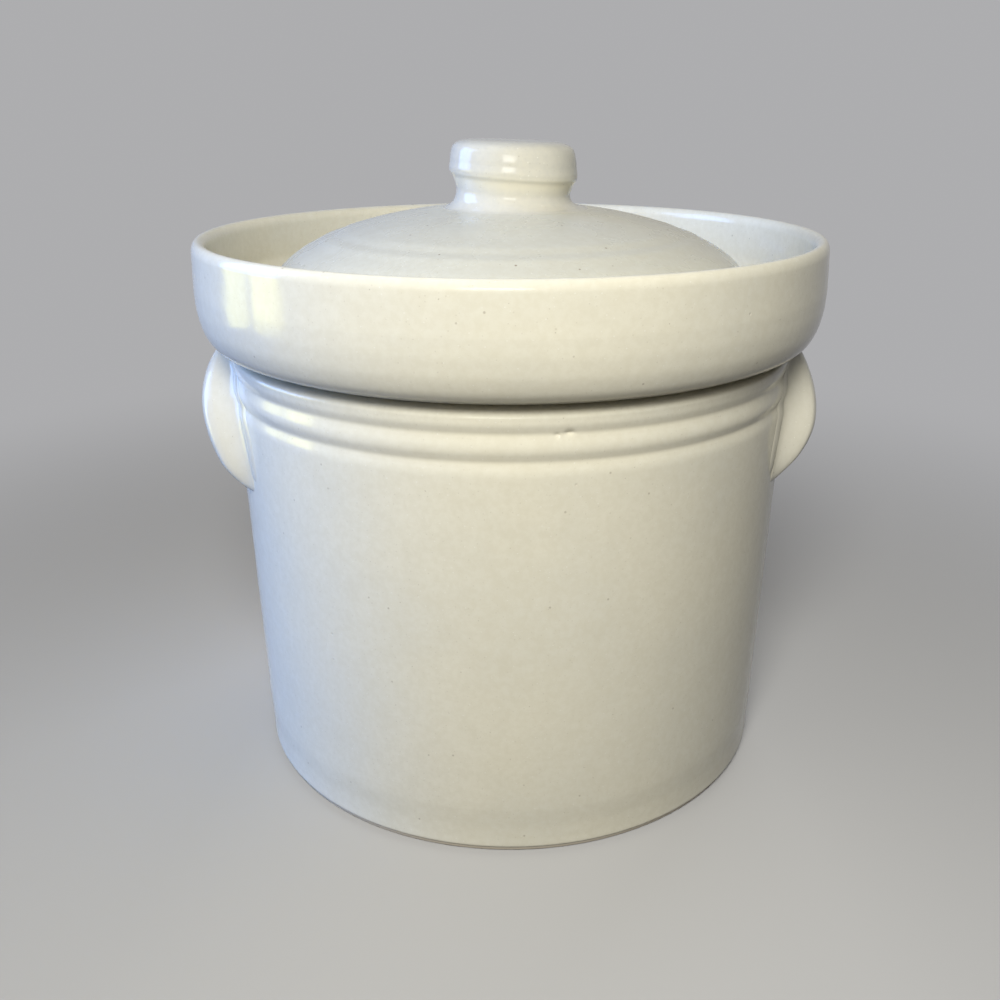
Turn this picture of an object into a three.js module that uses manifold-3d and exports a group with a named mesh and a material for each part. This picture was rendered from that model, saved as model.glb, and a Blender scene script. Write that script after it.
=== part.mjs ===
// Water-seal fermenting crock in glazed stoneware.
// A straight jar carries a wide water channel round its mouth. A domed lid stands in the channel,
// two lug handles sit under it on the wall, and two half-moon weight stones lie on the jar's floor.
// Millimetres, +Z up. The origin is the centre of the foot, on the surface that the crock stands on.

import * as THREE from 'three';
import { mergeVertices } from 'three/addons/utils/BufferGeometryUtils.js';
import Module from 'manifold-3d';

const wasm = await Module();
wasm.setup();

// Jar wall, floor and foot
const wallHeight = 171.5; // from the foot to the seam under the channel
const footRadius = 107; // outside of the wall just above the foot
const wallTopRadius = 109.7; // outside of the wall at the seam
const wallThickness = 7.5;
const floorThickness = 9;
const floorCornerRadius = 8;
const footRingWidth = 12;
const footRecess = 2;
const footEdgeInset = 1.2;
const footEdgeHeight = 4;

// Bands at the top of the wall: round edge at the seam, flat band, groove, bead, groove
const seamEdgeRadius = 2;
const seamBandWidth = 1.8;
const grooveWidth = 7;
const grooveDepth = 1.4;
const beadWidth = 2.9;

// Shoulder and neck, which stand inside the water channel
const shoulderWidth = 27.7; // from the outside of the wall to the outside of the neck
const shoulderThickness = 8;
const shoulderFilletRadius = 12;
const neckThickness = 6.5;
const neckTopClearance = 3; // between the neck's rim and the underside of the lid
const mouthEdgeRadius = 4;

// Lid: a half ellipse in section on a short straight skirt
const lidThickness = 5.5;
const lidNeckClearance = 5.5;
const lidDomeHeight = 32.2;
const lidSkirtHeight = 7.7;
const gasNotchRadius = 3.5;

// Knob, luted onto a flat pad on the lid
const knobRadius = 24.4;
const knobNeckRadius = 21.7;
const knobFootRadius = 24.2;
const knobHeight = 24.4;
const knobNeckHeight = 4.7;
const knobBellyHeight = 12.8;
const knobEdgeRadius = 5;
const knobPadMargin = 0.6;

// Water channel: a ring luted onto the jar's shoulder
const channelWidth = 21.4; // from the lid's skirt to the collar's inside
const channelFloorThickness = 9.5;
const channelFilletRadius = 14;
const collarThickness = 6;
const collarHeight = 39.4; // from the seam to the lip
const collarUndercut = 7.8; // how far the collar's lower edge draws in
const collarCurveHeight = 25;
const lutingGap = 0.3;

// Lug handles: arched ledges under the channel, one on each side
const lugHalfSpan = 46;
const lugHeight = 51.5;
const lugThickness = 12;
const lugProjection = 12.4;
const lugBulgeDrop = 23.5; // from the seam down to where the lug stands out most
const lugBulgeHalfHeight = 31;
const lugSeamGap = 1.5;
const lugWallGap = 0.3;

// Weight stones, two half moons
const stoneThickness = 18;
const stoneEdgeRadius = 2.5;
const stoneSplitGap = 4;
const stoneClearance = 1.5; // inside the flat part of the jar's floor

// Fineness of the round forms
const turnSegments = 48;
const knobSegments = 36;
const lugTurnSegments = 120;
const edgeSteps = 2; // a path's arcs get twice as many chords as its steps
const curveSteps = 3;
const domeSteps = 5;
const grooveSteps = 6;
const bulgeSteps = 12;
const archSteps = 12;
const stoneEdgeSteps = 3;
const notchSegments = 16;
const mergeDistance = 1e-4;

// Places that follow from the sizes above
const floorTop = footRecess + floorThickness;
const shoulderUnderside = wallHeight - shoulderThickness;
const channelFloor = wallHeight + channelFloorThickness;
const collarTop = wallHeight + collarHeight;

const neckRadius = wallTopRadius - shoulderWidth;
const mouthRadius = neckRadius - neckThickness;
const lidInnerRadius = neckRadius + lidNeckClearance;
const lidRadius = lidInnerRadius + lidThickness;
const collarInnerRadius = lidRadius + channelWidth;
const collarRadius = collarInnerRadius + collarThickness;

const domeBase = channelFloor + lidSkirtHeight;
const domeInnerHeight = lidDomeHeight - lidThickness;
const knobPadRadius = knobFootRadius + knobPadMargin;
const knobPadAngle = Math.acos(knobPadRadius / lidRadius);
const knobPadTop = domeBase + lidDomeHeight * Math.sin(knobPadAngle);
const lidUndersideAtNeck = domeBase + domeInnerHeight * Math.sqrt(1 - (neckRadius / lidInnerRadius) ** 2);
const neckTop = lidUndersideAtNeck - neckTopClearance;

const halfTurn = Math.PI;
const quarterTurn = Math.PI / 2;

// Outside of the plain wall at a height: a slight flare from foot to seam
function wallRadius(z) {
  return footRadius + (wallTopRadius - footRadius) * (z / wallHeight);
}

// Flat part of the jar's floor, inside the round corner
const cornerTop = floorTop + floorCornerRadius;
const floorFlatRadius = wallRadius(cornerTop) - wallThickness - floorCornerRadius;

// Closed three.js geometry to a solid that can be cut and joined
function solid(geometry) {
  geometry.deleteAttribute('normal');
  geometry.deleteAttribute('uv');
  const merged = mergeVertices(geometry, mergeDistance);
  const corners = merged.index.array;
  const triangles = [];
  for (let i = 0; i < corners.length; i += 3) {
    const [a, b, c] = corners.slice(i, i + 3);
    if (a !== b && b !== c && c !== a) triangles.push(a, b, c);
  }
  return new wasm.Manifold(new wasm.Mesh({
    numProp: 3,
    vertProperties: merged.attributes.position.array,
    triVerts: Uint32Array.from(triangles),
  }));
}

// Profile in radius and height, turned round the Z axis
function turned(profile, arcSteps, segments) {
  const geometry = new THREE.LatheGeometry(profile.getPoints(arcSteps), segments);
  return solid(geometry.rotateX(quarterTurn));
}

function piece(name, body, material) {
  const { vertProperties, triVerts } = body.getMesh();
  const geometry = new THREE.BufferGeometry();
  geometry.setAttribute('position', new THREE.BufferAttribute(vertProperties, 3));
  geometry.setIndex(new THREE.BufferAttribute(triVerts, 1));
  geometry.computeVertexNormals();
  const mesh = new THREE.Mesh(geometry, material);
  mesh.name = name;
  return mesh;
}

// Jar: foot ring, flared wall with two grooves, shoulder, neck and the hollow inside
function jar() {
  const profile = new THREE.Path();
  const footContactRadius = footRadius - footEdgeInset;
  const footInnerRadius = footContactRadius - footRingWidth;
  profile.moveTo(0, footRecess);
  profile.lineTo(footInnerRadius, footRecess);
  profile.lineTo(footInnerRadius, 0);
  profile.lineTo(footContactRadius, 0);
  profile.absellipse(footContactRadius, footEdgeHeight, footEdgeInset, footEdgeHeight, -quarterTurn, 0);

  const seamEdgeCentre = wallHeight - seamEdgeRadius;
  const upperGrooveBottom = seamEdgeCentre - seamBandWidth - grooveWidth;
  const lowerGrooveBottom = upperGrooveBottom - beadWidth - grooveWidth;
  for (const grooveBottom of [lowerGrooveBottom, upperGrooveBottom]) {
    for (let i = 0; i <= grooveSteps; i++) {
      const along = i / grooveSteps;
      const z = grooveBottom + along * grooveWidth;
      const dip = grooveDepth * Math.sin(along * halfTurn) ** 2;
      profile.lineTo(wallRadius(z) - dip, z);
    }
  }
  const bandRadius = wallRadius(seamEdgeCentre);
  profile.absarc(bandRadius - seamEdgeRadius, seamEdgeCentre, seamEdgeRadius, 0, quarterTurn);
  profile.lineTo(neckRadius, wallHeight);

  const neckEdgeRadius = neckThickness / 2;
  profile.absarc(mouthRadius + neckEdgeRadius, neckTop - neckEdgeRadius, neckEdgeRadius, 0, halfTurn);
  profile.absarc(
    mouthRadius + mouthEdgeRadius, shoulderUnderside + mouthEdgeRadius, mouthEdgeRadius,
    halfTurn, halfTurn + quarterTurn);

  const filletTop = shoulderUnderside - shoulderFilletRadius;
  const filletCentreRadius = wallRadius(filletTop) - wallThickness - shoulderFilletRadius;
  profile.absarc(filletCentreRadius, filletTop, shoulderFilletRadius, quarterTurn, 0, true);
  profile.absarc(floorFlatRadius, cornerTop, floorCornerRadius, 0, -quarterTurn, true);
  profile.lineTo(0, floorTop);
  return turned(profile, edgeSteps, turnSegments);
}

// Water channel: flat seat on the shoulder, undercut collar, round lip and a channel with a round corner
function waterChannel() {
  const profile = new THREE.Path();
  const seatInnerRadius = neckRadius + lutingGap;
  const lipRadius = collarThickness / 2;
  const lowerEdgeRadius = collarRadius - collarUndercut;
  profile.moveTo(seatInnerRadius, wallHeight);
  profile.lineTo(lowerEdgeRadius, wallHeight);
  profile.absellipse(
    lowerEdgeRadius, wallHeight + collarCurveHeight, collarUndercut, collarCurveHeight, -quarterTurn, 0);
  profile.absarc(collarRadius - lipRadius, collarTop - lipRadius, lipRadius, 0, halfTurn);
  profile.absarc(
    collarInnerRadius - channelFilletRadius, channelFloor + channelFilletRadius, channelFilletRadius,
    0, -quarterTurn, true);
  profile.lineTo(seatInnerRadius, channelFloor);
  profile.lineTo(seatInnerRadius, wallHeight);
  return turned(profile, curveSteps, turnSegments);
}

// Lid: shell of even thickness with a flat pad for the knob, and gas notches at the front and back
function lid() {
  const profile = new THREE.Path();
  profile.moveTo(0, domeBase + domeInnerHeight);
  profile.absellipse(0, domeBase, lidInnerRadius, domeInnerHeight, quarterTurn, 0, true);
  profile.lineTo(lidInnerRadius, channelFloor);
  profile.lineTo(lidRadius, channelFloor);
  profile.absellipse(0, domeBase, lidRadius, lidDomeHeight, 0, knobPadAngle);
  profile.lineTo(0, knobPadTop);
  const notchLength = 2 * (lidRadius + gasNotchRadius);
  const notches = new THREE.CylinderGeometry(gasNotchRadius, gasNotchRadius, notchLength, notchSegments);
  notches.translate(0, 0, channelFloor);
  return turned(profile, domeSteps, turnSegments).subtract(solid(notches));
}

// Knob: flared foot, waist, belly and a round top edge
function lidKnob() {
  const profile = new THREE.Path();
  const neckZ = knobPadTop + knobNeckHeight;
  const bellyZ = knobPadTop + knobBellyHeight;
  const middleZ = (neckZ + bellyZ) / 2;
  const edgeCentre = knobPadTop + knobHeight - knobEdgeRadius;
  profile.moveTo(0, knobPadTop);
  profile.lineTo(knobFootRadius, knobPadTop);
  profile.absellipse(
    knobFootRadius, neckZ, knobFootRadius - knobNeckRadius, knobNeckHeight, -quarterTurn, -halfTurn, true);
  profile.bezierCurveTo(knobNeckRadius, middleZ, knobRadius, middleZ, knobRadius, bellyZ);
  profile.absarc(knobRadius - knobEdgeRadius, edgeCentre, knobEdgeRadius, 0, quarterTurn);
  profile.lineTo(0, knobPadTop + knobHeight);
  return turned(profile, curveSteps, knobSegments);
}

// Lug handle on the +X side: a bulging band round the wall, kept only within an arch seen from the side
function lugHandle() {
  const band = new THREE.Path();
  const bulgeCentre = wallHeight - lugBulgeDrop;
  const apex = wallHeight - lugSeamGap;
  const bandBottom = bulgeCentre - lugBulgeHalfHeight;
  band.moveTo(wallRadius(bandBottom) + lugWallGap, bandBottom);
  for (let i = 1; i <= bulgeSteps; i++) {
    const z = bandBottom + (apex - bandBottom) * (i / bulgeSteps);
    const phase = ((z - bulgeCentre) / lugBulgeHalfHeight) * quarterTurn;
    band.lineTo(wallRadius(z) + lugWallGap + lugProjection * Math.cos(phase), z);
  }
  band.lineTo(wallRadius(apex) + lugWallGap, apex);
  band.closePath();

  const feet = apex - lugHeight;
  const arch = new THREE.Shape();
  arch.moveTo(lugHalfSpan, feet);
  arch.absellipse(0, feet, lugHalfSpan, lugHeight, 0, halfTurn);
  arch.lineTo(lugThickness - lugHalfSpan, feet);
  arch.absellipse(0, feet, lugHalfSpan - lugThickness, lugHeight - lugThickness, halfTurn, 0, true);
  const reach = wallTopRadius + 2 * lugProjection;
  const prism = new THREE.ExtrudeGeometry(
    arch, { depth: reach, curveSegments: archSteps, bevelEnabled: false });
  const sideways = new THREE.Matrix4().makeBasis(
    new THREE.Vector3(0, 1, 0), new THREE.Vector3(0, 0, 1), new THREE.Vector3(1, 0, 0));
  return turned(band, edgeSteps, lugTurnSegments).intersect(solid(prism.applyMatrix4(sideways)));
}

// Weight stone on the +X side: half a disc with eased edges, on the flat part of the jar's floor
function weightStone() {
  const stoneRadius = floorFlatRadius - stoneClearance;
  const halfAngle = Math.acos(stoneSplitGap / 2 / stoneRadius);
  const outline = new THREE.Shape();
  outline.absarc(0, 0, stoneRadius, -halfAngle, halfAngle);
  outline.closePath();
  const geometry = new THREE.ExtrudeGeometry(outline, {
    depth: stoneThickness - 2 * stoneEdgeRadius,
    curveSegments: archSteps,
    bevelThickness: stoneEdgeRadius,
    bevelSize: stoneEdgeRadius,
    bevelOffset: -stoneEdgeRadius,
    bevelSegments: stoneEdgeSteps,
  });
  geometry.translate(0, 0, floorTop + stoneEdgeRadius);
  return solid(geometry);
}

const creamGlaze = new THREE.MeshStandardMaterial({ color: '#dcd8c0', roughness: 0.2, metalness: 0 });
const lidGlaze = new THREE.MeshStandardMaterial({ color: '#dedbc8', roughness: 0.3, metalness: 0 });
const bareStoneware = new THREE.MeshStandardMaterial({ color: '#c3b08f', roughness: 0.85, metalness: 0 });

const crock = new THREE.Group();
crock.add(piece('jar', jar(), creamGlaze));
crock.add(piece('water_channel', waterChannel(), creamGlaze));
crock.add(piece('lid', lid(), lidGlaze));
crock.add(piece('lid_knob', lidKnob(), lidGlaze));
for (const [side, turn] of [['right', 0], ['left', halfTurn]]) {
  const handle = piece(`${side}_handle`, lugHandle(), creamGlaze);
  const stone = piece(`${side}_weight_stone`, weightStone(), bareStoneware);
  handle.rotation.z = turn;
  stone.rotation.z = turn;
  crock.add(handle, stone);
}

export default crock;
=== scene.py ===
# Looks of a water-seal fermenting crock in glazed stoneware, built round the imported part.
# Metres, +Z up. The crock stands at the origin, its handles point along X and its front faces -Y.

import math

import bpy
import numpy as np
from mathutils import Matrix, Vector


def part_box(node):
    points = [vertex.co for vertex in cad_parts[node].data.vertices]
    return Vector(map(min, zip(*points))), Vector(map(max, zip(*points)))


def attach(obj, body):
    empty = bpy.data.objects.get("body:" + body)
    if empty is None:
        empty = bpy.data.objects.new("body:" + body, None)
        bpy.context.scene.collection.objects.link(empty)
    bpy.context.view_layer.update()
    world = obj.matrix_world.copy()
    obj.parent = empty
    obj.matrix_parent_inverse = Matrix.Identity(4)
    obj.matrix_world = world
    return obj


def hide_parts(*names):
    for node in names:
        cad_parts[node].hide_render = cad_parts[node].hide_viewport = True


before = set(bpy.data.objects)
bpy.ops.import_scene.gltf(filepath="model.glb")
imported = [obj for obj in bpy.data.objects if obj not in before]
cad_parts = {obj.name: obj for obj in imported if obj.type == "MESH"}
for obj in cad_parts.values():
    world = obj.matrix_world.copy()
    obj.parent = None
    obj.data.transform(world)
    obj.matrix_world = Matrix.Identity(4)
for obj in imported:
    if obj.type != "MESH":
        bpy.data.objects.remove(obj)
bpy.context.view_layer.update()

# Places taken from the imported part
jar_low, jar_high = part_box("jar")
ring_low, ring_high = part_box("water_channel")
lid_low, lid_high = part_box("lid")
knob_low, knob_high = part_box("lid_knob")
stone_low, stone_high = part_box("right_weight_stone")

seam_height = ring_low.z
neck_top = jar_high.z
lip_height = ring_high.z
collar_radius = ring_high.x
channel_floor = lid_low.z
lid_radius = lid_high.x
knob_foot = knob_low.z
knob_top = knob_high.z
knob_radius = knob_high.x
floor_top = stone_low.z

# Jar: wall, foot and inside
foot_radius = 0.107
wall_top_radius = 0.1097
wall_thickness = 0.0075
foot_recess = 0.002
foot_ring_inner_radius = 0.0938
foot_edge_inset = 0.0017
foot_waist = 0.00025
foot_waist_height = 0.0070
foot_swell = 0.00005
foot_swell_height = 0.0042
foot_dip = 0.00015
foot_dip_height = 0.0120
foot_curve_start = 0.019
glaze_line_height = 0.0021
glaze_line_reach = 0.0007
glaze_roll_height = 0.0004
floor_corner_radius = 0.008
shoulder_thickness = 0.008
shoulder_fillet_radius = 0.012
neck_radius = 0.082
neck_thickness = 0.0065
mouth_edge_radius = 0.004

# Bare edge of the foot, as reach beyond the circle that it stands on, and height
foot_edge = ((-0.0001, 0), (0.0004, 0.0004), (0.0006, 0.0010))

# Bands at the top of the wall
groove_heights = (0.1621, 0.1528)
groove_width_above = 0.0080
groove_width_below = 0.0104
groove_depth = 0.0009
groove_roundness = 0.22
seam_drop = 0.0022
seam_edge_height = 0.0020
seam_edge_depth = 0.0040

# Two small dents in the bead, as angle from the front in degrees, height, half width, half height, depth
bead_dents = (
    (7.6, 0.1617, 0.0008, 0.0006, 0.0004),
    (9.7, 0.1622, 0.0014, 0.0007, 0.0006),
)

# Water channel
collar_thickness = 0.006
collar_lean = 0.0005
collar_undercut = 0.0094
collar_curve_height = 0.023
collar_curve_fullness = 0.83
collar_curve_start_angle = -86
collar_foot_bead = 0.0005
collar_bead_end_angle = 40
seam_gap_height = 0.0007
seam_gap_depth = 0.0070
channel_fillet_radius = 0.014
lip_rise = 0.0042
lip_outer_width = 0.0024
seat_inner_radius = 0.0823

# Lid
lid_thickness = 0.0055
lid_dome_height = 0.0322
lid_skirt_height = 0.0077
lid_ring_radius = 0.0698
lid_ring_depth = 0.00018
lid_ring_pitch = 0.0090
lid_ring_reach = 0.0080
lid_bare_height = 0.0012
gas_notch_radius = 0.0035

# Knob
knob_neck_radius = 0.0217
knob_neck_height = 0.0051
knob_crease_height = 0.0114
knob_crease_radius = 0.0239
knob_belly_height = 0.0130
knob_flare_radius = 0.0310
knob_ledge = 0.0002
knob_ledge_height = 0.0006
knob_top_round = 0.0120
knob_top_fall = 0.0001
knob_sink = 0.0011
knob_shift = 0.0011
knob_slope = 0.072
knob_neck_slope = 0.8 * knob_slope
knob_top_slope = 0.036
# Painted light under the knob's belly, where its shade falls: how far below the crease it is brightest,
# and how far it reaches
knob_painted_light_drop = 0.0019
knob_painted_light_reach = 0.0028

# Points of the knob's outline, as steps out and up: on the dome from the flare's radius, in the throat
# and at the neck from the neck's radius, and under the belly from the crease
knob_flare_points = ((0, -0.0001), (-0.0028, 0.0007), (-0.0052, 0.0013))
knob_throat_points = ((0.0026, 0.0010), (0.0013, 0.0020), (0.0006, 0.0031))
knob_neck_points = ((0, 0), (0.0003, 0.0019))
knob_crease_points = ((-0.0009, -0.0016), (0, -0.0003))

# Points of the knob's barrel, as inset from its radius and share of the height from its belly to its top
knob_barrel_points = (
    (0, 0), (0.0001, 0.10), (0.0004, 0.23), (0.0005, 0.36), (0.0008, 0.51),
    (0.0012, 0.67), (0.0021, 0.80), (0.0038, 0.89), (0.0068, 0.96),
)

# Lug handles, as left and right differ a little: half span, height of the feet, and the bulge's centre,
# its height above and below that, how far it stands out and how peaked it is above and below
lug_apex = 0.1700
lug_shapes = {
    "left": {
        "span": 0.050, "feet": 0.1208, "centre": 0.149, "depth": 0.0126,
        "rise": 0.0252, "drop": 0.0325, "top_peak": 0.7, "foot_peak": 0.75,
    },
    "right": {
        "span": 0.044, "feet": 0.1225, "centre": 0.145, "depth": 0.0122,
        "rise": 0.0350, "drop": 0.0275, "top_peak": 1.3, "foot_peak": 1.3,
    },
}
lug_foot_round = 0.14
lug_sink = 0.0002

# Section of a lug, from the fillet over it to the fillet under it: share of how far the lug stands out
# there, and place across the arch, upwards from the arch's line
lug_section = (
    (-0.02, 0.0136), (0.00, 0.0130), (0.035, 0.0122), (0.070, 0.0104), (0.085, 0.0078),
    (0.075, 0.0052), (0.085, 0.0036), (0.14, 0.0026), (0.24, 0.0018), (0.39, 0.0011),
    (0.56, 0.0005), (0.76, -0.0002), (0.92, -0.0012), (0.99, -0.0034), (1.00, -0.0060),
    (0.98, -0.0088), (0.90, -0.0110), (0.70, -0.0121), (0.40, -0.0125), (0.17, -0.0138),
    (0.08, -0.0162), (0.035, -0.0195), (0.005, -0.0226), (-0.02, -0.0242),
)

# Fillet over a lug: where it starts across the arch, and from which share of the leg it narrows and fades
lug_fillet_start = 0.003
lug_fillet_narrow_from = 0.45
lug_fillet_narrowing = 0.6
lug_fillet_fade_from = 0.90
lug_fillet_sunk = -0.02

# How far the upper side draws in at the top of the arch, and the shares at which a lug covers the grooves
lug_top_thinning = 0.88
lug_cover_above = 0.25
lug_cover_below = 0.03

# Glaze that gathers where a lug meets the wall, as share of how far it stands out
lug_pool_share = 0.06
lug_pool_reach = 0.12

# Weight stones
stone_corner_radius = 0.006
stone_least_corner = 0.001
stone_edge_radius = 0.003
stone_face_reach = 0.036
stone_dip = 0.0003
stone_split_gap = stone_low.x * 2

# Handmade unevenness
oval_amount = 0.00016
lump_amount = 0.00007
ring_amount = 0.00002
ring_pitch = 0.0062

# Hollows where glaze gathers: reach to look along a profile, and the depth that counts as full
hollow_reach = 0.0015
hollow_full_depth = 0.25 * hollow_reach

# Fineness
profile_step = 0.00025
glaze_passes = 4
profile_tolerance = 0.000004
longest_step = 0.004
turns = 256
knob_turns = 160
wall_steps = 700
dent_half_angle = 0.035
collar_curve_steps = 60
dome_steps = 400
dome_inside_steps = 200
notch_angles = 25
lug_steps = 121
lug_section_steps = 5
stone_round_steps = 90
stone_corner_steps = 12
stone_chord_steps = 42
stone_edge_steps = 7
stone_face_steps = 12

# Tones of each glaze where it lies thick, thin and pooled; the knob's third tone is not pooled glaze but
# painted light that lifts the shade under its belly
cream_tones = (0.75, 0.72, 0.60), (0.72, 0.70, 0.60), (0.63, 0.59, 0.46)
# The lug tones are the wall's glaze made darker all over: painted shade on the lugs
lug_painted_shade_tones = (0.68, 0.655, 0.56), (0.66, 0.64, 0.555), (0.58, 0.55, 0.44)
dome_tones = (0.635, 0.62, 0.525), (0.615, 0.605, 0.52), (0.52, 0.49, 0.385)
knob_tones = (0.59, 0.575, 0.50), (0.58, 0.565, 0.50), (0.95, 0.89, 0.68)

# What lies in the glaze, and how strongly each kind shows
iron_brown = (0.16, 0.10, 0.05)
pale_grain = (0.86, 0.85, 0.79)
blotch_strength = 0.13
mottle_strength = 0.30
pool_and_painted_light_strength = 0.45
grain_strength = 0.5
freckle_strength = 0.15
fine_speck_strength = 0.32
speck_least_strength = 0.15
speck_added_strength = 0.23
pinhole_strength = 0.25
glaze_ior = 1.45

# Spots: share of the radius that is full, and how sharply their cells are chosen
spot_core = 0.35
spot_choice_step = 0.02

# Clay at the bare edges, and of the unglazed stones
bare_clay = (0.64, 0.58, 0.48)
bare_clay_roughness = 0.8
clay_buff = (0.52, 0.42, 0.28)
clay_pale = (0.60, 0.51, 0.37)
clay_sand = (0.40, 0.31, 0.20)
clay_grog = (0.20, 0.14, 0.09)

# Stage: tones as seen and as they light the crock, and where the floor fades into the backdrop
backdrop_tone = (0.42, 0.42, 0.43)
backdrop_bounce_tone = (0.02, 0.02, 0.022)
floor_tone = (0.54, 0.54, 0.55)
floor_bounce_tone = (0.05, 0.045, 0.04)
floor_half_size = 12.0
floor_fade_start = 0.13
floor_fade_end = 0.65

# Camera of the photo: tilt in degrees up from straight down, lens and sensor in millimetres
camera_place = (0, -0.4015, 0.2564)
camera_tilt = 68.419
camera_lens = 36.0
camera_sensor = 36.0
camera_shift = -0.01045


def arc(centre, radii, start, end, steps=32, fullness=1.0):
    """Points of an elliptical arc in a profile, squarer where the fullness is below 1.
    Angles are in degrees: 0 points outwards and 90 up."""
    angles = np.radians(np.linspace(start, end, steps + 1))
    turns_out = np.column_stack((np.cos(angles), np.sin(angles)))
    return np.array(centre) + np.array(radii) * np.sign(turns_out) * np.abs(turns_out) ** fullness


def wave(corners, steps=12):
    """Smooth line through a few points of a profile."""
    corners = np.array(corners)
    padded = np.vstack((2 * corners[0] - corners[1], corners, 2 * corners[-1] - corners[-2]))
    share = np.linspace(0, 1, steps, endpoint=False)[:, None]
    stretches = []
    for before, start, end, after in zip(padded, padded[1:], padded[2:], padded[3:]):
        bend = 2 * before - 5 * start + 4 * end - after
        twist = 3 * start - before - 3 * end + after
        stretches.append(start + 0.5 * share * (end - before + share * (bend + share * twist)))
    return np.vstack(stretches + [corners[-1:]])


def soften(points, closed):
    """Even steps along a profile, with its corners rounded as a thick glaze rounds them."""
    points = np.vstack(points)
    if closed:
        points = np.vstack((points, points[:1]))
    lengths = np.hypot(*np.diff(points, axis=0).T)
    along = np.concatenate(([0], np.cumsum(lengths)))
    steps = np.linspace(0, along[-1], int(along[-1] / profile_step))
    even = np.column_stack([np.interp(steps, along, points[:, axis]) for axis in (0, 1)])
    for _ in range(glaze_passes):
        if closed:
            ring = even[:-1]
            even[:-1] = (np.roll(ring, 1, axis=0) + 2 * ring + np.roll(ring, -1, axis=0)) / 4
            even[-1] = even[0]
        else:
            even[1:-1] = (even[:-2] + 2 * even[1:-1] + even[2:]) / 4
    return even


def hollows(points):
    """How deep each point of an evenly stepped profile lies in a hollow, from 0 to 1."""
    count = int(hollow_reach / profile_step)
    padded = np.pad(points, ((count, count), (0, 0)), mode="edge")
    behind, ahead = padded[: -2 * count], padded[2 * count :]
    chord = ahead - behind
    outward = np.column_stack((chord[:, 1], -chord[:, 0]))
    outward /= np.maximum(np.hypot(*outward.T), 1e-9)[:, None]
    depth = (((ahead + behind) / 2 - points) * outward).sum(axis=1)
    return np.clip(depth / hollow_full_depth, 0, 1)


def thin(points):
    """Numbers of the points that keep a profile's shape."""
    kept = [0]
    last = len(points) - 1
    while kept[-1] < last:
        start = kept[-1]
        end = start + 1
        while end < last:
            chord = points[end + 1] - points[start]
            between = points[start + 1 : end + 1] - points[start]
            length = np.hypot(*chord)
            off = np.abs(chord[0] * between[:, 1] - chord[1] * between[:, 0]) / length
            if length > longest_step or off.max() > profile_tolerance:
                break
            end += 1
        kept.append(end)
    return kept


def uneven(theta, height):
    """Outward shift of a form thrown by hand: a little oval, a little lumpy, with faint finger rings."""
    oval = oval_amount * np.sin(2 * theta + 0.9)
    lumps = lump_amount * np.sin(5 * theta + 47 * height) * np.sin(3 * theta - 61 * height + 1.3)
    rings = ring_amount * np.sin(2 * np.pi * height / ring_pitch + 0.9 * np.sin(theta + 0.4))
    return oval + lumps + rings


def even_angles(count):
    return np.linspace(0, 2 * np.pi, count, endpoint=False)


def finer_angles(angles, centre, half_width, count=15):
    """The angles with more of them near one place on the round."""
    extra = centre + np.linspace(-half_width, half_width, count)
    return np.unique(np.concatenate((angles, extra % (2 * np.pi))).round(9))


def mesh_piece(name, places, faces, values):
    """Smooth mesh object with its per-point values as attributes."""
    mesh = bpy.data.meshes.new(name)
    mesh.from_pydata(np.asarray(places).tolist(), [], faces)
    for label, numbers in values.items():
        attribute = mesh.attributes.new(label, "FLOAT", "POINT")
        attribute.data.foreach_set("value", np.asarray(numbers, np.float32))
    mesh.shade_smooth()
    mesh.validate()
    piece = bpy.data.objects.new(name, mesh)
    bpy.context.scene.collection.objects.link(piece)
    return piece


def grid_faces(rows, columns, rows_closed):
    """Quads of a grid whose columns run round."""
    faces = []
    for row in range(rows if rows_closed else rows - 1):
        above = (row + 1) % rows
        for column in range(columns):
            beside = (column + 1) % columns
            faces.append((
                row * columns + column, row * columns + beside,
                above * columns + beside, above * columns + column,
            ))
    return faces


def turn(name, outline, angles, shift, bare):
    """Piece turned round Z from an outline that runs from axis to axis, or round a ring."""
    closed = outline[0][0][0] > 0
    even = soften(outline, closed)
    kept = thin(even)
    pool_and_painted_light = hollows(even)[kept]
    profile = even[kept]
    if closed:
        profile, pool_and_painted_light = profile[:-1], pool_and_painted_light[:-1]
    else:
        profile, pool_and_painted_light = profile[1:-1], pool_and_painted_light[1:-1]
    radius = profile[:, :1] * np.ones_like(angles)
    height = profile[:, 1:] * np.ones_like(angles)
    theta = np.ones_like(radius) * angles
    radius = radius + shift(theta, radius, height)
    places = np.stack((radius * np.cos(theta), radius * np.sin(theta), height), axis=-1).reshape(-1, 3)
    rows, columns = radius.shape
    faces = grid_faces(rows, columns, closed)
    values = {
        "pool_and_painted_light": np.repeat(pool_and_painted_light, columns),
        "bare": bare(profile[:, 0], profile[:, 1]).repeat(columns),
    }
    if not closed:
        first, last = len(places), len(places) + 1
        places = np.vstack((places, (0, 0, even[0, 1]), (0, 0, even[-1, 1])))
        top = (rows - 1) * columns
        for column in range(columns):
            beside = (column + 1) % columns
            faces.append((first, beside, column))
            faces.append((last, top + column, top + beside))
        values = {label: np.append(numbers, (0, 0)) for label, numbers in values.items()}
    return mesh_piece(name, places, faces, values)


def glazed_all_over(radius, height):
    return np.zeros_like(radius)


# Jar

def plain_wall(height):
    return foot_radius + (wall_top_radius - foot_radius) * height / seam_height


def grooved_wall(height):
    """Outside of the wall with the two grooves in it, each steeper above than below."""
    dip = np.zeros_like(height)
    for centre in groove_heights:
        width = np.where(height > centre, groove_width_above, groove_width_below)
        away = np.clip(np.abs(height - centre) / width, 0, 0.5) * np.pi
        rise = np.hypot(np.sin(away), groove_roundness * np.cos(away))
        dip = dip + groove_depth * (1 - rise) / (1 - groove_roundness)
    return plain_wall(height) - dip


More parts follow.
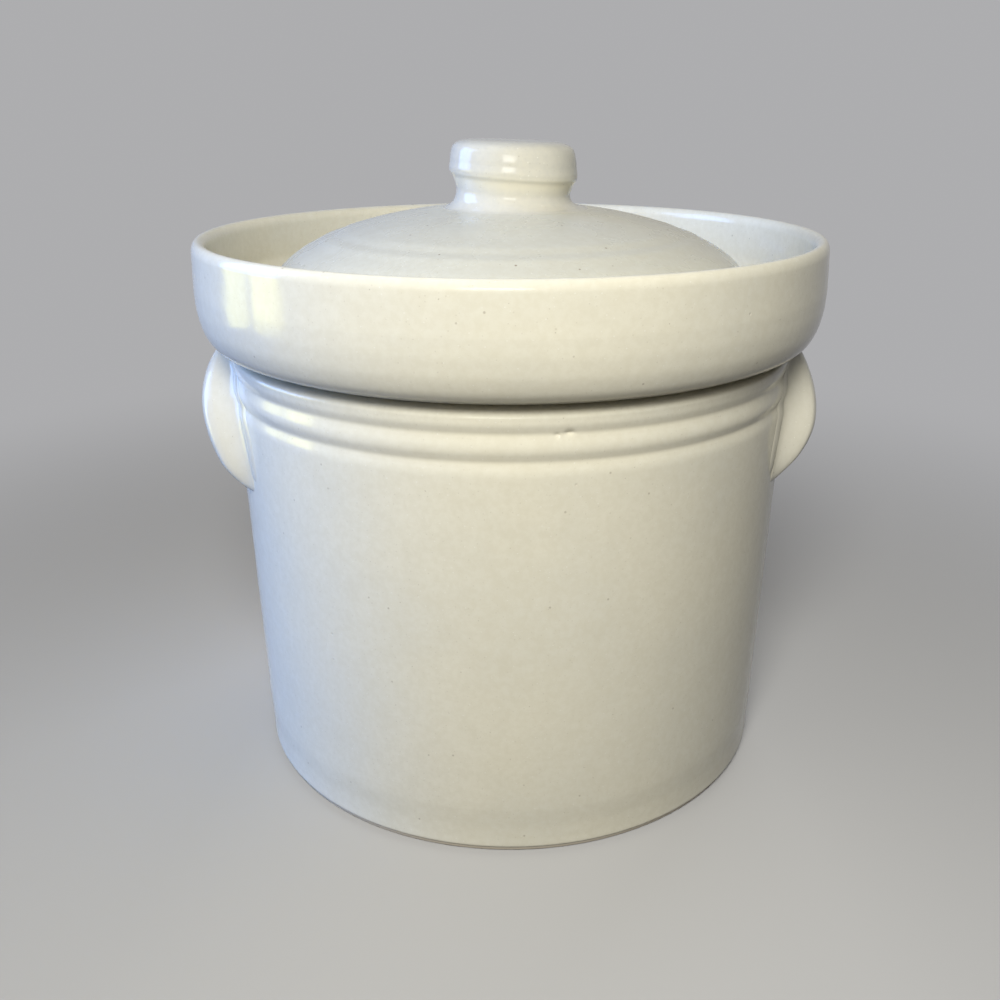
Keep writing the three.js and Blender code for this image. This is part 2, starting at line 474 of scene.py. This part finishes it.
def jar_outline():
    contact_radius = foot_radius - foot_edge_inset
    band_top = seam_height - seam_drop - seam_edge_height
    band_radius = float(plain_wall(band_top))
    wall_heights = np.linspace(foot_curve_start, band_top, wall_steps)
    mouth_radius = neck_radius - neck_thickness
    neck_edge = neck_thickness / 2
    shoulder_underside = seam_height - shoulder_thickness
    fillet_top = shoulder_underside - shoulder_fillet_radius
    fillet_radius = plain_wall(fillet_top) - wall_thickness - shoulder_fillet_radius
    corner_top = floor_top + floor_corner_radius
    corner_radius = plain_wall(corner_top) - wall_thickness - floor_corner_radius
    foot_rise = wave([
        (contact_radius + glaze_line_reach, glaze_line_height),
        (foot_radius - foot_waist - foot_swell, glaze_line_height + glaze_roll_height),
        (foot_radius - foot_waist + foot_swell, foot_swell_height),
        (foot_radius - foot_waist, foot_waist_height),
        (foot_radius - foot_dip, foot_dip_height),
        (float(plain_wall(foot_curve_start)), foot_curve_start),
    ])
    return [
        [(0, foot_recess), (foot_ring_inner_radius, foot_recess)],
        [(foot_ring_inner_radius + foot_recess, 0)],
        [(contact_radius + reach, height) for reach, height in foot_edge],
        foot_rise,
        np.column_stack((grooved_wall(wall_heights), wall_heights)),
        arc((band_radius - seam_edge_depth, band_top), (seam_edge_depth, seam_edge_height), 0, 90),
        [(neck_radius, seam_height)],
        arc((mouth_radius + neck_edge, neck_top - neck_edge), [neck_edge] * 2, 0, 180),
        arc((mouth_radius + mouth_edge_radius, shoulder_underside + mouth_edge_radius),
            [mouth_edge_radius] * 2, 180, 270),
        arc((fillet_radius, fillet_top), [shoulder_fillet_radius] * 2, 90, 0),
        arc((corner_radius, corner_top), [floor_corner_radius] * 2, 0, -90),
        [(0, floor_top)],
    ]


def jar_shift(theta, radius, height):
    """Handmade unevenness, and the dents in the bead on the outside."""
    shift = uneven(theta, height)
    outside = radius > plain_wall(height) - 2 * groove_depth
    for degrees, centre, half_width, half_height, depth in bead_dents:
        along = radius * (np.angle(np.exp(1j * (theta - math.radians(degrees - 90)))))
        dent = np.exp(-(along / half_width) ** 2 - ((height - centre) / half_height) ** 2)
        shift = shift - outside * depth * dent
    return shift


def jar_bare(radius, height):
    """The foot ring is wiped clean of glaze below the glaze line."""
    return ((height < glaze_line_height) & (radius > foot_ring_inner_radius)).astype(float)


def make_jar():
    angles = even_angles(turns)
    for degrees, *_ in bead_dents:
        angles = finer_angles(angles, math.radians(degrees - 90), dent_half_angle)
    return turn("jar_wall", jar_outline(), angles, jar_shift, jar_bare)


# Water channel

def channel_outline():
    lower_radius = collar_radius - collar_undercut
    inner_radius = collar_radius - collar_thickness
    crest_radius = collar_radius - collar_lean - lip_outer_width
    lip_base = lip_height - lip_rise
    bead = collar_foot_bead
    foot = seam_height + seam_gap_height
    gap_radius = lower_radius - seam_gap_depth
    curve_base = foot + 1.5 * bead
    curve_height = seam_height + collar_curve_height - curve_base
    return [
        [(seat_inner_radius, seam_height), (gap_radius, seam_height)],
        [(gap_radius + seam_gap_height, foot)],
        arc((lower_radius, foot + bead), (bead, bead), -90, collar_bead_end_angle),
        arc((lower_radius, curve_base + curve_height), (collar_undercut, curve_height),
            collar_curve_start_angle, 0, collar_curve_steps, collar_curve_fullness),
        arc((crest_radius, lip_base), (lip_outer_width, lip_rise), 0, 90),
        arc((crest_radius, lip_base), (crest_radius - inner_radius, lip_rise), 90, 180),
        arc((inner_radius - channel_fillet_radius, channel_floor + channel_fillet_radius),
            [channel_fillet_radius] * 2, 0, -90),
        [(seat_inner_radius, channel_floor)],
    ]


def ring_shift(theta, radius, height):
    return uneven(theta, height)


def make_channel():
    return turn("channel_ring", channel_outline(), even_angles(turns), ring_shift, glazed_all_over)


# Lid

def lid_outline():
    """Outline of the shell, with one throwing ring on the dome."""
    dome_base = channel_floor + lid_skirt_height
    inner_radius = lid_radius - lid_thickness
    inner_height = lid_dome_height - lid_thickness
    dome = arc((0, dome_base), (lid_radius, lid_dome_height), 0, 90, dome_steps)
    off_ring = dome[:, 0] - lid_ring_radius
    ring = np.sin(2 * np.pi * off_ring / lid_ring_pitch) * np.exp(-(off_ring / lid_ring_reach) ** 2)
    dome[:, 1] += lid_ring_depth * ring
    return [
        arc((0, dome_base), (inner_radius, inner_height), 90, 0, dome_inside_steps),
        [(inner_radius, channel_floor), (lid_radius, channel_floor)],
        dome,
    ]


def lid_bare(radius, height):
    """The lower edge that the lid stands on is wiped clean of glaze."""
    return (height < channel_floor + lid_bare_height).astype(float)


def make_lid():
    notch_half_angle = gas_notch_radius / lid_radius
    angles = even_angles(turns)
    for centre in (math.pi / 2, -math.pi / 2):
        angles = finer_angles(angles, centre, 1.5 * notch_half_angle, notch_angles)
    piece = turn("lid_dome", lid_outline(), angles, ring_shift, lid_bare)
    for vertex in piece.data.vertices:
        x, y, z = vertex.co
        above = z - channel_floor
        if above < lid_skirt_height and abs(x) < gas_notch_radius:
            rise = math.sqrt(gas_notch_radius ** 2 - x * x)
            vertex.co.z += rise * (1 - max(above, 0) / lid_skirt_height)
    return piece


# Knob

def knob_outline():
    neck = knob_foot + knob_neck_height
    crease = knob_foot + knob_crease_height
    belly = knob_foot + knob_belly_height
    foot = knob_foot - knob_sink
    stretches = (
        (knob_flare_points, knob_flare_radius, foot),
        (knob_throat_points, knob_neck_radius, knob_foot),
        (knob_neck_points, knob_neck_radius, neck),
        (knob_crease_points, knob_crease_radius, crease),
    )
    flare = [
        (radius + out, height + up)
        for points, radius, height in stretches
        for out, up in points
    ]
    rise = knob_top - belly
    ledge = [
        (knob_crease_radius + knob_ledge, crease),
        (knob_radius - knob_ledge, crease + knob_ledge_height),
    ]
    barrel = [(knob_radius - inset, belly + share * rise) for inset, share in knob_barrel_points]
    crown = [(knob_radius - knob_top_round, knob_top - knob_top_fall), (0, knob_top)]
    return [[(0, foot)], wave(flare), wave(ledge + barrel + crown)]


def make_knob():
    """The knob slopes down a little to the right, and painted light makes it pale under its belly, where
    its shade falls.
    """
    piece = turn("knob", knob_outline(), even_angles(knob_turns), ring_shift, glazed_all_over)
    pool_and_painted_light = piece.data.attributes["pool_and_painted_light"].data
    heights = (0, knob_neck_height, knob_crease_height, knob_top - knob_foot)
    slopes = (0, knob_neck_slope, knob_slope, knob_top_slope)
    for vertex in piece.data.vertices:
        height = vertex.co.z - knob_foot
        # Painted light under the belly, kept in the pool attribute, that lifts the shade there
        away = (height - knob_crease_height + knob_painted_light_drop) / knob_painted_light_reach
        pool_and_painted_light[vertex.index].value = math.exp(-away * away)
        vertex.co.z -= vertex.co.x * np.interp(height, heights, slopes)
        vertex.co.x += knob_shift
    return piece


# Lug handles

def ramp(value, start, end):
    """0 up to the start, 1 from the end on, and even between them."""
    return min(max((value - start) / (end - start), 0), 1)


def lug_point(shape, sideways, along, rise, across):
    """Place on a lug: along runs from its front foot at -1 over its top at 0 to its back foot at 1."""
    height = lug_apex - shape["feet"]
    angle = along * math.pi / 2
    middle = np.array((shape["span"] * math.sin(angle), shape["feet"] + height * math.cos(angle)))
    normal = np.array((math.sin(angle) / shape["span"], math.cos(angle) / height))
    if across > lug_fillet_start:
        rise += (lug_fillet_sunk - rise) * ramp(abs(along), lug_fillet_fade_from, 1)
        narrowed = lug_fillet_narrowing * ramp(abs(along), lug_fillet_narrow_from, 1)
        across -= (across - lug_fillet_start) * narrowed
    if across > 0:
        across *= 1 - lug_top_thinning * math.cos(angle) ** 3
    y, z = middle + across * normal / np.hypot(*normal)
    above = z - shape["centre"]
    reach, peak = ("rise", "top_peak") if above > 0 else ("drop", "foot_peak")
    phase = min(abs(above) / shape[reach], 1) * math.pi / 2
    bulge = shape["depth"] * math.cos(phase) ** shape[peak]
    ended = ramp(abs(along), 1 - lug_foot_round, 1)
    cover = ramp(rise, 0, lug_cover_above if across > 0 else lug_cover_below)
    wall = float(grooved_wall(np.float64(z)))
    wall += (float(plain_wall(z)) - wall) * cover
    radius = wall - lug_sink + (rise * bulge + lug_sink * 2 * cover) * math.sqrt(1 - ended * ended)
    return sideways * math.sqrt(radius ** 2 - y ** 2), y, z


def make_lug(side):
    shape = lug_shapes[side]
    sideways = {"left": -1, "right": 1}[side]
    section = wave(lug_section, lug_section_steps)
    steps = np.linspace(-1, 1, lug_steps)
    places = [
        lug_point(shape, sideways, along, rise, across)
        for along in steps
        for rise, across in section
    ]
    faces = grid_faces(len(steps), len(section), False)
    first_end = tuple(range(len(section)))
    last_end = tuple(range((len(steps) - 1) * len(section), len(steps) * len(section)))
    faces.append(first_end[::-1])
    faces.append(last_end)
    if sideways > 0:
        faces = [face[::-1] for face in faces]
    pool_and_painted_light = np.tile(np.exp(-((section[:, 0] - lug_pool_share) / lug_pool_reach) ** 2), len(steps))
    return mesh_piece(f"{side}_lug", places, faces, {"pool_and_painted_light": pool_and_painted_light, "bare": np.zeros(len(places))})


# Weight stones

def stone_ring(inset):
    """Outline of a half-moon stone on the +X side, drawn in by an inset."""
    radius = stone_high.x - inset
    edge = stone_split_gap / 2 + inset
    corner = max(stone_corner_radius - inset, stone_least_corner)
    centre_y = math.sqrt((radius - corner) ** 2 - (edge + corner) ** 2)
    turn_angle = math.degrees(math.atan2(centre_y, edge + corner))
    chord = np.linspace(centre_y, -centre_y, stone_chord_steps)[1:-1]
    corners = (corner, corner)
    return np.vstack((
        arc((0, 0), (radius, radius), -turn_angle, turn_angle, stone_round_steps),
        arc((edge + corner, centre_y), corners, turn_angle, 180, stone_corner_steps)[1:],
        np.column_stack((np.full_like(chord, edge), chord)),
        arc((edge + corner, -centre_y), corners, 180, 360 - turn_angle, stone_corner_steps)[:-1],
    ))


def make_stone(side):
    sideways = {"left": -1, "right": 1}[side]
    steps = np.radians(np.linspace(0, 90, stone_edge_steps))
    edge_insets = stone_edge_radius * (1 - np.sin(steps))
    edge_drops = stone_edge_radius * (1 - np.cos(steps))
    face_insets = np.linspace(stone_face_reach, stone_edge_radius, stone_face_steps)[:-1]
    levels = [(inset, stone_low.z) for inset in face_insets]
    levels += [(inset, stone_low.z + drop) for inset, drop in zip(edge_insets, edge_drops)]
    levels += [(inset, stone_high.z - drop) for inset, drop in zip(edge_insets[::-1], edge_drops[::-1])]
    levels += [(inset, stone_high.z) for inset in face_insets[::-1]]
    places = []
    for inset, height in levels:
        for x, y in stone_ring(inset):
            dip = stone_dip * math.sin(150 * x + 1.1) * math.sin(170 * y + 0.4)
            sunk = min(dip, 0) if height > (stone_low.z + stone_high.z) / 2 else 0
            places.append((sideways * x, sideways * y, height + sunk))
    count = len(places) // len(levels)
    faces = grid_faces(len(levels), count, False)
    faces.append(tuple(range(count))[::-1])
    faces.append(tuple(range(len(places) - count, len(places))))
    return mesh_piece(f"{side}_stone", places, faces, {})


# Materials

def node(tree, kind, inputs=None, **settings):
    """Shader node with its settings and its unlinked inputs."""
    made = tree.nodes.new(kind)
    for name, value in settings.items():
        setattr(made, name, value)
    for name, value in (inputs or {}).items():
        made.inputs[name].default_value = value
    return made


def noise(tree, place, scale, detail, roughness=0.5):
    made = node(tree, "ShaderNodeTexNoise", {"Scale": scale, "Detail": detail, "Roughness": roughness})
    tree.links.new(place, made.inputs["Vector"])
    return made.outputs["Fac"]


def mapped(tree, source, low, high, start=0.0, end=1.0):
    """Source from low to high, eased to run from start to end."""
    made = node(tree, "ShaderNodeMapRange", interpolation_type="SMOOTHSTEP")
    for name, value in zip(("From Min", "From Max", "To Min", "To Max"), (low, high, start, end)):
        made.inputs[name].default_value = value
    tree.links.new(source, made.inputs["Value"])
    return made.outputs["Result"]


def times(tree, first, second):
    made = node(tree, "ShaderNodeMath", operation="MULTIPLY")
    for source, socket in zip((first, second), made.inputs):
        if isinstance(source, float):
            socket.default_value = source
        else:
            tree.links.new(source, socket)
    return made.outputs["Value"]


def blend(tree, factor, first, second):
    """Colour that goes from first to second, each a colour or a socket."""
    made = node(tree, "ShaderNodeMix", data_type="RGBA")
    first_colour, second_colour = made.inputs[6], made.inputs[7]
    mixed_colour = made.outputs[2]
    tree.links.new(factor, made.inputs["Factor"])
    for source, socket in zip((first, second), (first_colour, second_colour)):
        if isinstance(source, tuple):
            socket.default_value = (*source, 1)
        else:
            tree.links.new(source, socket)
    return mixed_colour


def spots(tree, place, scale, radius, share):
    """Small round spots, one in a share of the cells of a grid of that scale."""
    cells = node(tree, "ShaderNodeTexVoronoi", {"Scale": scale, "Randomness": 1.0})
    tree.links.new(place, cells.inputs["Vector"])
    dots = mapped(tree, cells.outputs["Distance"], radius, spot_core * radius)
    channels = node(tree, "ShaderNodeSeparateColor")
    tree.links.new(cells.outputs["Color"], channels.inputs["Color"])
    chosen = mapped(tree, channels.outputs["Red"], 1 - share, 1 - share + spot_choice_step)
    return times(tree, dots, chosen)


def bump(tree, height, distance, strength, normal=None):
    made = node(tree, "ShaderNodeBump", {"Distance": distance, "Strength": strength})
    tree.links.new(height, made.inputs["Height"])
    if normal is not None:
        tree.links.new(normal, made.inputs["Normal"])
    return made.outputs["Normal"]


def attribute(tree, label):
    return node(tree, "ShaderNodeAttribute", attribute_name=label).outputs["Fac"]


def glaze(name, tones, gloss, dryness, cloudiness, speckle):
    """Stoneware glaze with clouds, mottle, iron specks and pinholes, pooled in hollows, bare at edges. On
    the knob the pooled tone is painted light under its belly.
    """
    thick, thin_tone, pooled_and_painted_light = tones
    material = bpy.data.materials.new(name)
    material.use_nodes = True
    tree = material.node_tree
    shader = tree.nodes["Principled BSDF"]
    place = node(tree, "ShaderNodeTexCoord").outputs["Object"]

    cloud = mapped(tree, noise(tree, place, scale=16, detail=3), 0.35, 0.65)
    blotch = mapped(tree, noise(tree, place, scale=120, detail=3, roughness=0.6), 0.35, 0.65)
    mottle = mapped(tree, noise(tree, place, scale=420, detail=4, roughness=0.65), 0.32, 0.68)
    specks = spots(tree, place, scale=150, radius=0.085, share=0.40 * speckle)
    fine_specks = spots(tree, place, scale=300, radius=0.09, share=0.20 * speckle)
    freckles = spots(tree, place, scale=520, radius=0.16, share=min(0.7 * speckle, 0.7))
    grains = spots(tree, place, scale=380, radius=0.12, share=0.8)
    pinholes = spots(tree, place, scale=95, radius=0.06, share=0.18)
    bare = attribute(tree, "bare")

    tone = blend(tree, cloud, thick, thin_tone)
    tone = blend(tree, times(tree, blotch, blotch_strength * cloudiness), tone, pooled_and_painted_light)
    tone = blend(tree, times(tree, mottle, mottle_strength * cloudiness), tone, pooled_and_painted_light)
    # Glaze pooled in hollows; on the knob this tone is painted light under the belly instead
    tone = blend(tree, times(tree, attribute(tree, "pool_and_painted_light"), pool_and_painted_light_strength), tone, pooled_and_painted_light)
    tone = blend(tree, times(tree, grains, grain_strength), tone, pale_grain)
    tone = blend(tree, times(tree, freckles, freckle_strength), tone, iron_brown)
    tone = blend(tree, times(tree, fine_specks, fine_speck_strength), tone, iron_brown)
    speck_strength = speck_least_strength + speck_added_strength * speckle
    tone = blend(tree, times(tree, specks, speck_strength), tone, iron_brown)
    tone = blend(tree, times(tree, pinholes, pinhole_strength), tone, bare_clay)
    tone = blend(tree, bare, tone, bare_clay)
    tree.links.new(tone, shader.inputs["Base Color"])

    sheen = mapped(tree, noise(tree, place, scale=55, detail=4), 0.3, 0.7, gloss, gloss + dryness)
    rough = node(tree, "ShaderNodeMix", data_type="FLOAT")
    tree.links.new(bare, rough.inputs["Factor"])
    tree.links.new(sheen, rough.inputs["A"])
    rough.inputs["B"].default_value = bare_clay_roughness
    tree.links.new(rough.outputs["Result"], shader.inputs["Roughness"])

    swells = noise(tree, place, scale=70, detail=2)
    waves = bump(tree, swells, distance=0.0010, strength=0.14)
    dimples = noise(tree, place, scale=650, detail=3)
    peel = bump(tree, dimples, distance=0.00012, strength=0.16, normal=waves)
    level = node(tree, "ShaderNodeMath", operation="SUBTRACT")
    level.inputs[0].default_value = 1.0
    tree.links.new(pinholes, level.inputs[1])
    pits = bump(tree, level.outputs["Value"], distance=0.0002, strength=0.5, normal=peel)
    tree.links.new(pits, shader.inputs["Normal"])
    shader.inputs["IOR"].default_value = glaze_ior
    return material


def bare_stoneware(name):
    """Unglazed fired clay: buff with sandy grain and dark grog."""
    material = bpy.data.materials.new(name)
    material.use_nodes = True
    tree = material.node_tree
    shader = tree.nodes["Principled BSDF"]
    place = node(tree, "ShaderNodeTexCoord").outputs["Object"]
    cloud = mapped(tree, noise(tree, place, scale=30, detail=4), 0.3, 0.7)
    grain = noise(tree, place, scale=900, detail=4, roughness=0.7)
    grog = spots(tree, place, scale=260, radius=0.16, share=0.3)
    tone = blend(tree, cloud, clay_buff, clay_pale)
    tone = blend(tree, times(tree, mapped(tree, grain, 0.35, 0.65), 0.35), tone, clay_sand)
    tone = blend(tree, times(tree, grog, 0.7), tone, clay_grog)
    tree.links.new(tone, shader.inputs["Base Color"])
    tree.links.new(mapped(tree, grain, 0.2, 0.8, 0.75, 0.95), shader.inputs["Roughness"])
    tree.links.new(bump(tree, grain, distance=0.0004, strength=0.5), shader.inputs["Normal"])
    return material


def finish_piece(piece, body, replaced, material):
    piece.data.materials.append(material)
    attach(piece, body)
    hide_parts(replaced)


cream = glaze("cream_glaze", cream_tones, gloss=0.10, dryness=0.08, cloudiness=1.0, speckle=1.0)
# A darker copy of the cream glaze for the lugs: painted shade
lug_glaze_painted_shade = glaze("lug_glaze_painted_shade", lug_painted_shade_tones, gloss=0.14, dryness=0.10, cloudiness=0.8, speckle=0.6)
dome_glaze = glaze("dome_glaze", dome_tones, gloss=0.22, dryness=0.12, cloudiness=0.9, speckle=2.6)
knob_glaze = glaze("knob_glaze", knob_tones, gloss=0.09, dryness=0.06, cloudiness=0.3, speckle=1.2)
stoneware = bare_stoneware("bare_stoneware")

finish_piece(make_jar(), "crock", "jar", cream)
finish_piece(make_channel(), "crock", "water_channel", cream)
finish_piece(make_lid(), "lid", "lid", dome_glaze)
finish_piece(make_knob(), "lid", "lid_knob", knob_glaze)
for side in ("left", "right"):
    finish_piece(make_lug(side), "crock", f"{side}_handle", lug_glaze_painted_shade)
    finish_piece(make_stone(side), f"{side}_weight", f"{side}_weight_stone", stoneware)


# Stage, light and camera

def seen_rays(tree):
    """1 for what the camera, a reflection or a clear body sees, 0 for the light that bounces about."""
    path = node(tree, "ShaderNodeLightPath")
    total = path.outputs["Is Camera Ray"]
    for name in ("Is Glossy Ray", "Is Transmission Ray"):
        added = node(tree, "ShaderNodeMath", operation="MAXIMUM")
        tree.links.new(total, added.inputs[0])
        tree.links.new(path.outputs[name], added.inputs[1])
        total = added.outputs["Value"]
    return total


def blend_shaders(tree, factor, first, second):
    made = node(tree, "ShaderNodeMixShader")
    tree.links.new(factor, made.inputs["Fac"])
    tree.links.new(first, made.inputs[1])
    tree.links.new(second, made.inputs[2])
    return made.outputs["Shader"]


def floor_material():
    """Pale paper that fades into the backdrop far out, and gives little light back to the crock."""
    material = bpy.data.materials.new("pale_floor")
    material.use_nodes = True
    tree = material.node_tree
    tree.nodes.remove(tree.nodes["Principled BSDF"])
    place = node(tree, "ShaderNodeTexCoord").outputs["Object"]
    seen = seen_rays(tree)
    pale = node(tree, "ShaderNodeBsdfDiffuse", {"Color": (*floor_tone, 1)}).outputs["BSDF"]
    dim = node(tree, "ShaderNodeBsdfDiffuse", {"Color": (*floor_bounce_tone, 1)}).outputs["BSDF"]
    far = node(tree, "ShaderNodeEmission", {"Color": (*backdrop_tone, 1)}).outputs["Emission"]
    distance = node(tree, "ShaderNodeVectorMath", operation="LENGTH")
    tree.links.new(place, distance.inputs[0])
    fade = mapped(tree, distance.outputs["Value"], floor_fade_start, floor_fade_end)
    paper = blend_shaders(tree, seen, dim, pale)
    shader = blend_shaders(tree, times(tree, fade, seen), paper, far)
    tree.links.new(shader, tree.nodes["Material Output"].inputs["Surface"])
    return material


def make_floor():
    half = floor_half_size
    corners = [(-half, -half, 0), (half, -half, 0), (half, half, 0), (-half, half, 0)]
    mesh = bpy.data.meshes.new("floor")
    mesh.from_pydata(corners, [], [(0, 1, 2, 3)])
    mesh.materials.append(floor_material())
    floor = bpy.data.objects.new("floor", mesh)
    bpy.context.scene.collection.objects.link(floor)
    return floor


def make_world():
    world = bpy.data.worlds.new("studio")
    bpy.context.scene.world = world
    world.use_nodes = True
    tree = world.node_tree
    dim = tree.nodes["Background"]
    dim.inputs["Color"].default_value = (*backdrop_bounce_tone, 1)
    pale = node(tree, "ShaderNodeBackground", {"Color": (*backdrop_tone, 1)})
    shader = blend_shaders(tree, seen_rays(tree), dim.outputs["Background"], pale.outputs["Background"])
    tree.links.new(shader, tree.nodes["World Output"].inputs["Surface"])


def soft_light(name, place, target, size, power, colour, diffuse=True, glossy=True):
    """Rectangular soft box at a place, aimed at a target."""
    lamp = bpy.data.lights.new(name, "AREA")
    lamp.shape = "RECTANGLE"
    lamp.size, lamp.size_y = size
    lamp.energy = power
    lamp.color = colour
    light = bpy.data.objects.new(name, lamp)
    light.location = place
    aim = np.array(target) - np.array(place)
    turn_z = math.atan2(aim[1], aim[0]) - math.pi / 2
    turn_x = math.pi / 2 + math.atan2(aim[2], math.hypot(aim[0], aim[1]))
    light.rotation_euler = (turn_x, 0, turn_z)
    light.visible_camera = False
    light.visible_diffuse = diffuse
    light.visible_glossy = glossy
    bpy.context.scene.collection.objects.link(light)
    return light


def keep_off(light, spared):
    """The light passes one object by, so that its tint doesn't reach it."""
    receivers = bpy.data.collections.new(f"{light.name}_receivers")
    receivers.objects.link(spared)
    receivers.collection_objects[0].light_linking.link_state = "EXCLUDE"
    light.light_linking.receiver_collection = receivers


def make_lights(floor):
    """Light from the front, blue sky from the left, fill from behind, two windows seen in the glaze."""
    middle = (0, 0, 0.15)
    low_middle = (0, 0, 0.03)
    soft_light(
        "key", place=(-0.055, -0.615, 0.62), target=middle, size=(0.28, 0.28),
        power=5.95, colour=(1.0, 0.98, 0.905), glossy=False,
    )
    soft_light(
        "front", place=(-0.10, -1.2, 0.60), target=middle, size=(0.50, 0.21),
        power=2.4, colour=(1.0, 0.99, 0.96),
    )
    sky = soft_light(
        "sky", place=(-1.0, 0.1, 0.55), target=middle, size=(0.6, 0.7),
        power=12.0, colour=(0.26, 0.46, 1.0),
    )
    low_sky = soft_light(
        "low_sky", place=(-0.46, 0, 0.06), target=low_middle, size=(0.2, 0.08),
        power=0.55, colour=(0.2, 0.42, 1.0), glossy=False,
    )
    left_back = soft_light(
        "left_back", place=(-0.6, 1.0, 0.12), target=low_middle, size=(0.5, 0.2),
        power=7.0, colour=(1.0, 0.75, 0.35), glossy=False,
    )
    for light in (sky, low_sky, left_back):
        keep_off(light, floor)
    soft_light(
        "back", place=(0.45, 1.1, 0.65), target=middle, size=(0.8, 0.6),
        power=5.0, colour=(0.97, 0.98, 1.0), glossy=False,
    )
    for name, back, power in (("left", 0.04, 0.12), ("right", -0.09, 0.18)):
        soft_light(
            f"window_{name}", place=(-0.48, back, 0.152), target=(0, -0.09, 0.156), size=(0.11, 0.116),
            power=power, colour=(1.0, 0.96, 0.25), diffuse=False,
        )


def make_camera():
    """Camera at the photo's angle, for a square image."""
    lens = bpy.data.cameras.new("camera")
    lens.sensor_width = camera_sensor
    lens.lens = camera_lens
    lens.shift_x = camera_shift
    camera = bpy.data.objects.new("camera", lens)
    camera.location = camera_place
    camera.rotation_euler = (math.radians(camera_tilt), 0, 0)
    bpy.context.scene.collection.objects.link(camera)
    bpy.context.scene.camera = camera


make_lights(make_floor())
make_world()
make_camera()
bpy.context.scene.view_settings.view_transform = "Standard"
